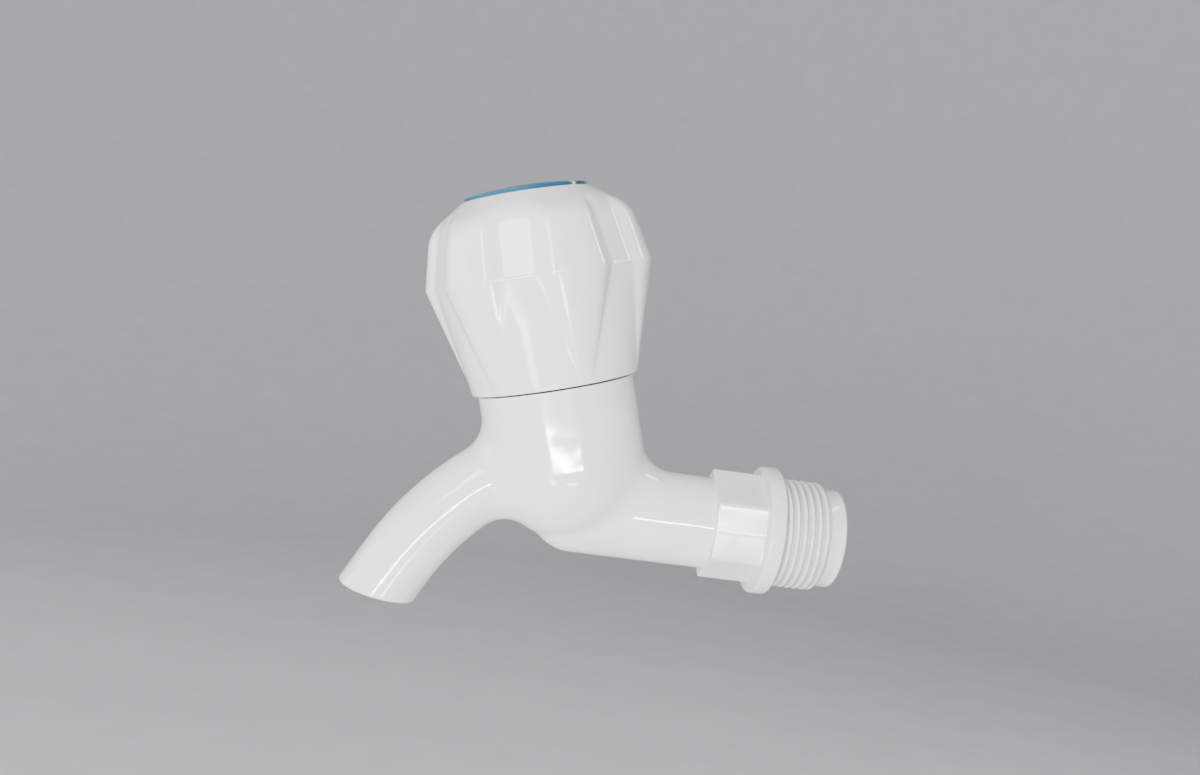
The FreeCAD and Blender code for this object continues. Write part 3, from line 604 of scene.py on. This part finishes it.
@dataclass
class Knob:
    """The six-lobed knob: one closed skin with its hollow, boss and screw well."""

    sizes: KnobSizes
    columns_flute: int = 22
    columns_lobe: int = 34
    arc_steps: int = 6
    rows_lower: int = 24
    rows_upper: int = 14
    rows_dome: int = 8

    def spots(self) -> List[Tuple[int, bool, float]]:
        """Where the columns stand round the knob.

        Returns:
            The lobe's number, whether it is on a flute, and the place along it from -1 to 1.
        """
        result = []
        for i in range(self.sizes.lobes):
            result += [(i, True, -1 + 2 * k / self.columns_flute) for k in range(self.columns_flute)]
            result += [(i, False, -1 + 2 * k / self.columns_lobe) for k in range(self.columns_lobe)]
        return result

    def section(self, tip: float, flat: float, half: float, corner_angle: float,
                round_rim: bool) -> List[Tuple[float, float]]:
        """Points of one cross-section.

        Args:
            tip: radius at a lobe's middle.
            flat: distance of a flute's floor from the axis.
            half: half of the floor's width.
            corner_angle: half of the angle that the floor spans at the rim.
            round_rim: whether this is the round rim.

        Returns:
            The points, as x and y, evened out at the flutes' corners.
        """
        count = self.sizes.lobes
        step = 2 * math.pi / count
        corner = tip if round_rim else math.hypot(flat, half)
        opening = math.radians(corner_angle) if round_rim else math.atan2(half, flat)
        sweep = step / 2 - opening
        points = []
        for i, on_flute, t in self.spots():
            middle = math.radians(self.sizes.turn - 90) + i * step
            if on_flute and round_rim:
                radius, angle = tip, middle + t * opening
            elif on_flute:
                radius, angle = math.hypot(flat, half * t), middle + math.atan2(half * t, flat)
            else:
                radius = corner + (tip - corner) * (1 - abs(t) ** self.sizes.lobe_power)
                angle = middle + step / 2 + t * sweep
            points.append((radius * math.cos(angle), radius * math.sin(angle)))
        if round_rim:
            return points
        step_mm = 2 * half / self.columns_flute
        xs = smooth_loop([p[0] for p in points], self.sizes.flute_soft, step_mm)
        ys = smooth_loop([p[1] for p in points], self.sizes.flute_soft, step_mm)
        return list(zip(xs, ys))

    def crown_cut(self, wide: float, top: float) -> Tuple[float, float]:
        """Where a column's upper taper meets the dome.

        Args:
            wide: the column's radius at the widest level.
            top: its radius at the crown's level.

        Returns:
            The radius and height of that corner.
        """
        s = self.sizes
        slope = (s.seat - s.crown) / (s.crown_r - s.land_r)
        taper = (wide - top) / (s.crown - s.wide)
        rise = (s.seat - slope * (wide - s.land_r) - s.wide) / (1 - slope * taper)
        return wide - taper * rise, s.wide + rise

    def build(self, material: bpy.types.Material) -> bpy.types.Object:
        """Make the knob.

        Args:
            material: its finish.

        Returns:
            The knob's object.
        """
        s = self.sizes
        rim = self.section(s.rim_r, 0, 0, s.flute_rim_angle, True)
        wide = self.section(s.wide_r, s.flute_r, s.flute_half, 0, False)
        crown = self.section(s.crown_r, s.flute_crown_r, s.flute_half, 0, False)
        columns = []
        for low, middle, high in zip(rim, wide, crown):
            columns.append(self.column(low, middle, high))
        rings = [[column[i] for column in columns] for i in range(len(columns[0]))]
        piece = Skin("knob_skin", rings, True)
        return piece.dress(Slot.KNOB, material, Body.HANDLE, "knob")

    def column(self, low: Tuple[float, float], middle: Tuple[float, float],
               high: Tuple[float, float]) -> List[Vector]:
        """One closed outline through the wall, from the rim over the top and back inside.

        Args:
            low: the point at the rim.
            middle: the point at the widest level.
            high: the point at the crown's level.

        Returns:
            The outline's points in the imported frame, in millimetres.
        """
        s = self.sizes
        rim_r, wide_r, top_r = math.hypot(*low), math.hypot(*middle), math.hypot(*high)
        cut_r, cut_h = self.crown_cut(wide_r, top_r)
        ceiling = s.seat - s.disc_seat - s.roof
        recess = s.seat - s.disc_seat
        inner_wide = wide_r - s.wall
        inner_top = inner_wide + (cut_r - wide_r) * (ceiling - s.wide) / (cut_h - s.wide)
        angle = math.atan2(middle[1], middle[0])
        square = s.square_half / max(abs(math.cos(angle)), abs(math.sin(angle)))
        corners = [
            (rim_r, s.rim, s.rim_round), (wide_r, s.wide, s.wide_round), (cut_r, cut_h, s.crown_round),
            (s.land_r, s.seat, s.land_round), (s.disc_r, s.seat, 0.0), (s.disc_r, recess, 0.0),
            (s.well_r, recess, 0.0),
            (s.well_r, s.well_floor, 0.0), (square, s.well_floor, 0.0), (square, s.boss_foot, 0.0),
            (s.boss_r, s.boss_foot, 0.0), (s.boss_r, s.well_floor - s.well_floor_thick, 0.0),
            (s.well_r + s.well_wall, s.well_floor - s.well_floor_thick, 0.0),
            (s.well_r + s.well_wall, ceiling, 0.4), (inner_top, ceiling, 0.6),
            (inner_wide, s.wide, 0.6), (rim_r - s.wall, s.rim, s.rim_round)]
        arc = self.arc_steps
        outline = rounded(corners, arc)
        counts = [1] * len(outline)
        counts[arc] = self.rows_lower
        counts[2 * arc + 1] = self.rows_upper
        counts[3 * arc + 2] = self.rows_dome
        outline = divided(outline, counts)
        points = []
        for radius, height in outline:
            here = angle
            if height < s.wide and radius > s.rim_r - s.wall - 0.5:
                here = self.ruled_angle(middle, low, (s.wide - height) / (s.wide - s.rim))
            elif height > s.wide and radius > inner_top + 0.5:
                here = self.ruled_angle(middle, high, (height - s.wide) / (s.crown - s.wide))
            local = Vector((radius * math.cos(here), radius * math.sin(here), height)) * MM
            points.append(HEAD.matrix @ local / MM)
        return points

    @staticmethod
    def ruled_angle(start: Tuple[float, float], end: Tuple[float, float], share: float) -> float:
        """The direction of a column part of the way from one section to another.

        Args:
            start: the column's point on the first section.
            end: its point on the other section.
            share: how far along it is, from 0 to 1.

        Returns:
            The direction in radians.
        """
        share = min(1.0, max(0.0, share))
        return math.atan2(start[1] + (end[1] - start[1]) * share, start[0] + (end[0] - start[0]) * share)


# Index disc

@dataclass
class DiscSizes:
    """Sizes of the blue disc, above the valve seat where they are heights."""

    radius: float = 14.6
    foot: float = 61.8
    top: float = 64.5
    crown: float = 1.32
    edge_round: float = 0.35
    plug_r: float = 7.4
    plug_foot: float = 59.8
    plug_wall: float = 1.2
    groove_r: float = 12.7
    groove: float = 0.12
    groove_half: float = 0.22
    middle_r: float = 0.15


@dataclass
class IndexDisc:
    """The plain blue disc on the knob, slightly domed, with a fine groove near its edge."""

    sizes: DiscSizes
    columns: int = 160
    dome_rings: int = 29

    def outline(self) -> List[Tuple[float, float]]:
        """Outline from the middle of the top, over the edge, to the middle of the underside.

        Returns:
            Radius and height of each point.
        """
        s = self.sizes
        edge = s.top - s.crown
        dome = []
        for k in range(1, self.dome_rings + 1):
            radius = (s.radius - s.edge_round) * k / self.dome_rings
            height = s.top - s.crown * (radius / s.radius) ** 2
            height -= s.groove * math.exp(-((radius - s.groove_r) / s.groove_half) ** 2)
            dome.append((radius, height))
        lower = rounded([
            (s.radius - s.edge_round - 0.01, edge, 0.0), (s.radius, edge, s.edge_round),
            (s.radius, s.foot, 0.1), (s.plug_r, s.foot, 0.0), (s.plug_r, s.plug_foot, 0.1),
            (s.plug_r - s.plug_wall, s.plug_foot, 0.1), (s.plug_r - s.plug_wall, s.foot, 0.0),
            (0.2, s.foot, 0.0)], closed=False)
        return [(s.middle_r, s.top)] + dome + lower[1:]

    def build(self, material: bpy.types.Material) -> bpy.types.Object:
        """Make the disc.

        Args:
            material: its finish.

        Returns:
            The disc's object.
        """
        rings = []
        for radius, height in self.outline():
            ring = []
            for k in range(self.columns):
                angle = 2 * math.pi * k / self.columns
                local = Vector((radius * math.cos(angle), radius * math.sin(angle), height)) * MM
                ring.append(HEAD.matrix @ local / MM)
            rings.append(ring)
        piece = Skin("index_disc_skin", rings, False)
        return piece.dress(Slot.DISC, material, Body.HANDLE, "index_disc")


# Inlet adaptor

@dataclass
class AdaptorSizes:
    """Sizes of the inlet adaptor; heights are along the inlet from the flange's face."""

    thread_r: float = 13.22
    pitch: float = 1.814
    depth: float = 1.162
    thread_end: float = 12.1
    nose_r: float = 12.0
    nose_end: float = 16.0
    nose_chamfer: float = 0.5
    bore_r: float = 8.5
    flange_r: float = 15.5
    flange_back: float = -3.8
    hexagon_half: float = 11.65
    hexagon_back: float = -16.0
    hexagon_turn: float = 0.3
    socket_r: float = 9.45
    socket_stop: float = -2.0
    seam: float = 0.05
    seam_half: float = 0.16
    nub: float = 0.16
    nub_half: float = 0.7
    nub_reach: float = 1.5
    root_share: float = 0.12
    flank_share: float = 0.74
    lead_in: float = 0.9
    lead_out: float = 1.2
    run_out: float = 0.4


@dataclass
class Adaptor:
    """Hexagon, flange, thread and nose in one closed skin, with the mould's seam and gate mark."""

    sizes: AdaptorSizes
    columns: int = 432
    thread_rows: int = 150
    corner_power: int = 70

    def hexagon(self, angle: float) -> float:
        """Radius of the hexagon with softly rounded corners.

        Args:
            angle: direction about the inlet's axis, from +Y towards +Z.

        Returns:
            The radius.
        """
        power = self.corner_power
        first = math.radians(-self.sizes.hexagon_turn)
        total = sum(max(0.0, math.cos(angle - first - math.radians(60 * i))) ** power for i in range(6))
        return self.sizes.hexagon_half / total ** (1 / power)

    def thread(self, along: float, angle: float) -> float:
        """Radius of the right-hand thread with rounded crests and roots.

        Args:
            along: the place along the inlet.
            angle: direction about the inlet's axis.

        Returns:
            The radius.
        """
        s = self.sizes
        phase = (along / s.pitch - angle / (2 * math.pi)) % 1.0
        rise = 1 - abs(2 * phase - 1)
        share = min(1.0, max(0.0, (rise - s.root_share) / s.flank_share))
        shape = 0.5 - 0.5 * math.cos(math.pi * share)
        fade = min(1.0, max(0.0, along / s.lead_in))
        fade *= min(1.0, max(0.0, (s.thread_end + s.run_out - along) / s.lead_out))
        radius = s.thread_r - s.depth * (1 - shape) * fade
        limit = s.nose_r + (s.thread_end - along) * 1.0 + 0.02
        return min(radius, max(limit, s.nose_r))

    def seam_at(self, along: float, angle: float) -> float:
        """Height of the mould's seam and of the gate mark on the flange.

        Args:
            along: the place along the inlet.
            angle: direction about the inlet's axis.

        Returns:
            How much the skin stands proud.
        """
        s = self.sizes
        off = abs(math.sin(angle)) * s.thread_r
        height = s.seam * math.exp(-(off / s.seam_half) ** 2)
        near = math.cos(angle) < 0
        if near and s.flange_back < along < 0:
            place = (along - s.flange_back / 2) / s.nub_reach
            height += s.nub * math.exp(-(off / s.nub_half) ** 2) * math.exp(-place ** 4)
        return height

    def outline(self, angle: float) -> List[Tuple[float, float, bool]]:
        """The closed outline of one column.

        Args:
            angle: direction about the inlet's axis.

        Returns:
            Radius, place along the inlet, and whether the point is on the outside.
        """
        s = self.sizes
        flat = self.hexagon(angle)
        back = rounded([
            (s.socket_r, s.hexagon_back, 0.1), (flat, s.hexagon_back, 0.45), (flat, s.flange_back, 0.25),
            (s.flange_r, s.flange_back, 0.7), (s.flange_r, 0.0, 0.7), (s.thread_r - s.depth * 0.6, 0.0, 0.0)],
            closed=False)
        points = [(r, x, True) for r, x in back[:-1]]
        for k in range(self.thread_rows):
            along = 0.02 + (s.thread_end - 0.02) * k / (self.thread_rows - 1)
            points.append((self.thread(along, angle), along, True))
        front = rounded([
            (s.nose_r, s.thread_end, 0.0), (s.nose_r - 0.05, s.nose_end - s.nose_chamfer, 0.4),
            (s.nose_r - s.nose_chamfer, s.nose_end, 0.2), (s.bore_r + s.nose_chamfer, s.nose_end, 0.2),
            (s.bore_r, s.nose_end - s.nose_chamfer, 0.2), (s.bore_r, s.socket_stop, 0.0),
            (s.socket_r, s.socket_stop, 0.0), (s.socket_r, s.hexagon_back + 0.3, 0.0)], closed=False)
        points += [(r, x, i < 8) for i, (r, x) in enumerate(front[1:])]
        return points

    def build(self, material: bpy.types.Material) -> bpy.types.Object:
        """Make the adaptor.

        Args:
            material: its finish.

        Returns:
            The adaptor's object.
        """
        columns = []
        for k in range(self.columns):
            angle = 2 * math.pi * k / self.columns
            column = []
            for radius, along, outside in self.outline(angle):
                if outside:
                    radius += self.seam_at(along, angle)
                column.append(Vector((along, radius * math.cos(angle), radius * math.sin(angle))))
            columns.append(column)
        rings = [[column[i] for column in columns] for i in range(len(columns[0]))]
        piece = Skin("inlet_adaptor_skin", rings, True)
        return piece.dress(Slot.ADAPTOR, material, Body.HOUSING, "inlet_nipple")


# Solvent weld

@dataclass
class WeldSizes:
    """Sizes of the bead of solvent where the inlet tube enters the adaptor."""

    tube_r: float = 11.05
    face: float = -16.0
    bead: float = 0.32
    unevenness: float = 0.12


@dataclass
class WeldBead:
    """An uneven bead of dried solvent in the corner of the welded joint."""

    sizes: WeldSizes
    columns: int = 260
    steps: int = 7

    def build(self, material: bpy.types.Material) -> bpy.types.Object:
        """Make the bead.

        Args:
            material: its finish.

        Returns:
            The bead's object.
        """
        s = self.sizes
        rings = []
        for i in range(self.steps + 3):
            ring = []
            for k in range(self.columns):
                angle = 2 * math.pi * k / self.columns
                spot = Vector((math.cos(angle) * 2.3, math.sin(angle) * 2.3, 0.7))
                size = s.bead + s.unevenness * noise.noise(spot * 1.7)
                if i <= self.steps:
                    turn = math.pi / 2 * i / self.steps
                    radius = s.tube_r - 0.05 + size * (1 - math.sin(turn)) * 0.8 + 0.05
                    along = s.face + 0.05 - size * (1 - math.cos(turn)) - 0.05
                else:
                    radius = s.tube_r - 0.1
                    along = s.face - size + (size + 0.1) * (i - self.steps - 1)
                ring.append(Vector((along, radius * math.cos(angle), radius * math.sin(angle))))
            rings.append(ring)
        piece = Skin("weld_bead", rings, True)
        return piece.dress(Slot.BODY, material, Body.HOUSING)


# Carried-over pieces

@dataclass
class CarriedOver:
    """CAD nodes whose shape is right and that only get their finish."""

    materials: Dict[Slot, bpy.types.Material]

    FINISH_OF = {
        "tap_body": Slot.BODY, "bonnet": Slot.HEAD, "gland_nut": Slot.HEAD,
        "gland_follower": Slot.HEAD, "jumper": Slot.HEAD, "bonnet_gasket": Slot.RUBBER,
        "gland_packing": Slot.RUBBER, "seat_washer": Slot.RUBBER, "spindle": Slot.BRASS,
        "washer_screw": Slot.STEEL, "knob_washer": Slot.STEEL, "knob_screw": Slot.STEEL}

    def paint(self) -> None:
        """Put each node's material on its object."""
        for node, slot in self.FINISH_OF.items():
            piece = frame["nodes"][node]
            piece.data.materials.clear()
            piece.data.materials.append(self.materials[slot])
            LOG.info("finish %s on %s", slot.value, node)


# Stage, light and camera

@dataclass
class Cove:
    """A round pale floor that curves up into a wall.

    Args:
        height: the floor's height in metres.
        flat: radius of its flat middle.
        bend: radius of its upward curve.
        wall: height of the wall above the curve.
        flat_rings: rings on the flat middle.
        bend_rings: rings on the upward curve.
        columns: points on each ring.
    """

    height: float = -0.26
    flat: float = 1.2
    bend: float = 1.3
    wall: float = 3.6
    flat_rings: int = 6
    bend_rings: int = 40
    columns: int = 96

    def build(self) -> bpy.types.Object:
        """Make the floor.

        Returns:
            The floor's object.
        """
        outline = [(MM, self.height)]
        for k in range(1, self.flat_rings + 1):
            outline.append((self.flat * k / self.flat_rings, self.height))
        for k in range(1, self.bend_rings + 1):
            turn = math.pi / 2 * k / self.bend_rings
            outline.append((self.flat + self.bend * math.sin(turn),
                            self.height + self.bend * (1 - math.cos(turn))))
        outline.append((self.flat + self.bend, self.height + self.bend + self.wall))
        angles = [2 * math.pi * k / self.columns for k in range(self.columns)]
        rings = [[Vector((r * math.cos(a), r * math.sin(a), h)) / MM for a in angles]
                 for r, h in outline]
        floor = Skin("floor", rings[:-1], False).object
        self.open_top(floor)
        floor.data.materials.append(self.paint())
        return floor

    @staticmethod
    def open_top(floor: bpy.types.Object) -> None:
        """Take away the lid that would close the cove.

        Args:
            floor: the cove's object.
        """
        work = bmesh.new()
        work.from_mesh(floor.data)
        lids = [face for face in work.faces if len(face.verts) > 4 and face.calc_center_median().z > 0]
        bmesh.ops.delete(work, geom=lids, context="FACES_ONLY")
        work.to_mesh(floor.data)
        work.free()

    @staticmethod
    def paint() -> bpy.types.Material:
        """Matt pale paper.

        Returns:
            The floor's material.
        """
        material = bpy.data.materials.new("paper")
        material.use_nodes = True
        nodes = Nodes(material)
        where = nodes.add("TexCoord").outputs["Object"]
        shader = nodes.add("BsdfPrincipled", Roughness=0.9)
        grain = nodes.noise(where, 30.0, 4.0)
        nodes.link(nodes.ramp(grain, 0.3, 0.7, (0.80, 0.82, 0.83), (0.84, 0.86, 0.87)),
                   shader.inputs["Base Color"])
        out = nodes.add("OutputMaterial")
        nodes.link(shader.outputs["BSDF"], out.inputs["Surface"])
        return material


AIM = Vector((-0.05, 0.0, 0.02))


@dataclass
class Lamp:
    """A rectangular soft light, placed by its direction as seen from the camera.

    Args:
        name: its name.
        side: degrees to the right of the camera, seen from the tap.
        rise: degrees above the camera, seen from the tap.
        distance: its distance from the tap in metres.
        across: its width in metres.
        tall: its height in metres.
        power: its power in watts.
        roll: its turn about its own beam, in degrees.
        tint: its colour.
        mirrored: whether glossy skins mirror it.
        lights: whether it lights the skins as well as being mirrored.
    """

    name: str
    side: float
    rise: float
    distance: float
    across: float
    tall: float
    power: float
    roll: float = 0.0
    tint: Tuple[float, float, float] = (1.0, 1.0, 1.0)
    mirrored: bool = True
    lights: bool = True

    def build(self) -> bpy.types.Object:
        """Make the light.

        Returns:
            The light's object.
        """
        data = bpy.data.lights.new(self.name, "AREA")
        data.shape = "RECTANGLE"
        data.size, data.size_y = self.across, self.tall
        data.energy = self.power
        data.color = self.tint
        lamp = bpy.data.objects.new(self.name, data)
        side, rise = math.radians(self.side), math.radians(self.rise)
        right, ahead = Vector(PhotoCamera.right), Vector(PhotoCamera.ahead)
        up = right.cross(ahead)
        way = -ahead * math.cos(side) * math.cos(rise) + right * math.sin(side) * math.cos(rise)
        way += up * math.sin(rise)
        place = AIM + way.normalized() * self.distance
        turn = (AIM - place).to_track_quat("-Z", "Y").to_matrix().to_4x4()
        spin = Matrix.Rotation(math.radians(self.roll), 4, "Z")
        lamp.matrix_world = Matrix.Translation(place) @ turn @ spin
        lamp.visible_camera = False
        lamp.visible_glossy = self.mirrored
        lamp.visible_diffuse = self.lights
        bpy.context.collection.objects.link(lamp)
        return lamp


@dataclass
class PhotoCamera:
    """The camera at the photograph's viewing angle, worked out from the round edges in it.

    Args:
        place: its place in metres.
        right: direction of the picture's right side.
        ahead: direction that it looks in.
        lens: focal length for a sensor 36 mm wide.
    """

    place: Tuple[float, float, float] = (-0.08478, -0.28456, 0.04412)
    right: Tuple[float, float, float] = (0.9811, -0.1237, 0.1488)
    ahead: Tuple[float, float, float] = (0.1328, 0.9898, -0.0525)
    lens: float = 36.0

    def build(self) -> bpy.types.Object:
        """Make the camera and use it.

        Returns:
            The camera's object.
        """
        data = bpy.data.cameras.new("photo_camera")
        data.sensor_width = 36.0
        data.lens = self.lens
        data.clip_start, data.clip_end = 0.01, 20.0
        camera = bpy.data.objects.new("photo_camera", data)
        back = -Vector(self.ahead).normalized()
        right = Vector(self.right).normalized()
        up = back.cross(right).normalized()
        turn = Matrix((right, up, back)).transposed().to_4x4()
        camera.matrix_world = Matrix.Translation(self.place) @ turn
        bpy.context.collection.objects.link(camera)
        bpy.context.scene.camera = camera
        return camera


def light_world(strength: float, colour: Tuple[float, float, float]) -> None:
    """Give the scene an even soft background light.

    Args:
        strength: its strength.
        colour: its colour.
    """
    world = bpy.data.worlds.new("soft_world")
    world.use_nodes = True
    sky = world.node_tree.nodes["Background"]
    sky.inputs["Color"].default_value = (*colour, 1.0)
    sky.inputs["Strength"].default_value = strength
    bpy.context.scene.world = world


def write_sizes() -> None:
    """Log a line in place of the boxes; no box is written or compared."""
    LOG.info("boxes written")


def main() -> None:
    """Dress the tap, set the stage and the camera."""
    logging.basicConfig(level=logging.INFO, format="%(name)s %(message)s")
    finishes = [
        Plastic(Slot.BODY, (0.86, 0.855, 0.84), (0.80, 0.795, 0.785), gloss=(0.05, 0.10),
                wave=0.00022, specks=0.02),
        # the adaptor's finish paints shade into the roots of its thread
        RootShadePaintedPlastic(Slot.ADAPTOR, (0.80, 0.81, 0.81), (0.74, 0.75, 0.755), gloss=(0.10, 0.20), glow=0.06),
        Plastic(Slot.KNOB, (0.86, 0.86, 0.86), (0.80, 0.805, 0.81), specks=0.03),
        Plastic(Slot.DISC, (0.020, 0.125, 0.23), (0.012, 0.085, 0.17), gloss=(0.10, 0.18), glow=0.02),
        Plastic(Slot.HEAD, (0.72, 0.71, 0.67), (0.64, 0.63, 0.60), gloss=(0.25, 0.4)),
        Rubber(),
        TurnedMetal(Slot.BRASS, (0.78, 0.57, 0.27), (0.55, 0.38, 0.18)),
        TurnedMetal(Slot.STEEL, (0.62, 0.62, 0.62), (0.45, 0.45, 0.46)),
    ]
    materials = {finish.slot: finish.make() for finish in finishes}
    CarriedOver(materials).paint()
    for piece, slot in ((Knob(KnobSizes()), Slot.KNOB), (IndexDisc(DiscSizes()), Slot.DISC),
                        (Adaptor(AdaptorSizes()), Slot.ADAPTOR), (WeldBead(WeldSizes()), Slot.BODY)):
        made = piece.build(materials[slot])
        LOG.info("piece %s with %d faces", made.name, len(made.data.polygons))
    Cove().build()
    for lamp in (
            Lamp("window", 3, -13.9, 0.70, 0.56, 0.016, 14.0, roll=14.6, lights=False),
            Lamp("sill", 8, -32, 0.40, 0.08, 0.02, 0.4, roll=8.2),
            Lamp("flute_upper", -20, 23, 0.70, 0.11, 0.17, 1.6),
            Lamp("flute_lower", -21, -28, 0.45, 0.065, 0.07, 0.4),
            Lamp("front_soft", -12, 7, 1.5, 0.60, 0.40, 38.0, mirrored=False),
            Lamp("top_soft", 20, 78, 1.3, 1.0, 1.0, 2.5),
            Lamp("right_edge", 103, 30, 0.8, 0.08, 0.40, 3.2),
            Lamp("left_soft", -85, 16, 1.3, 0.8, 0.5, 5.5)):
        lamp.build()
        LOG.info("light %s", lamp.name)
    light_world(0.17, (0.93, 0.97, 1.0))
    PhotoCamera().build()
    write_sizes()


if __name__ == "__main__":
    main()
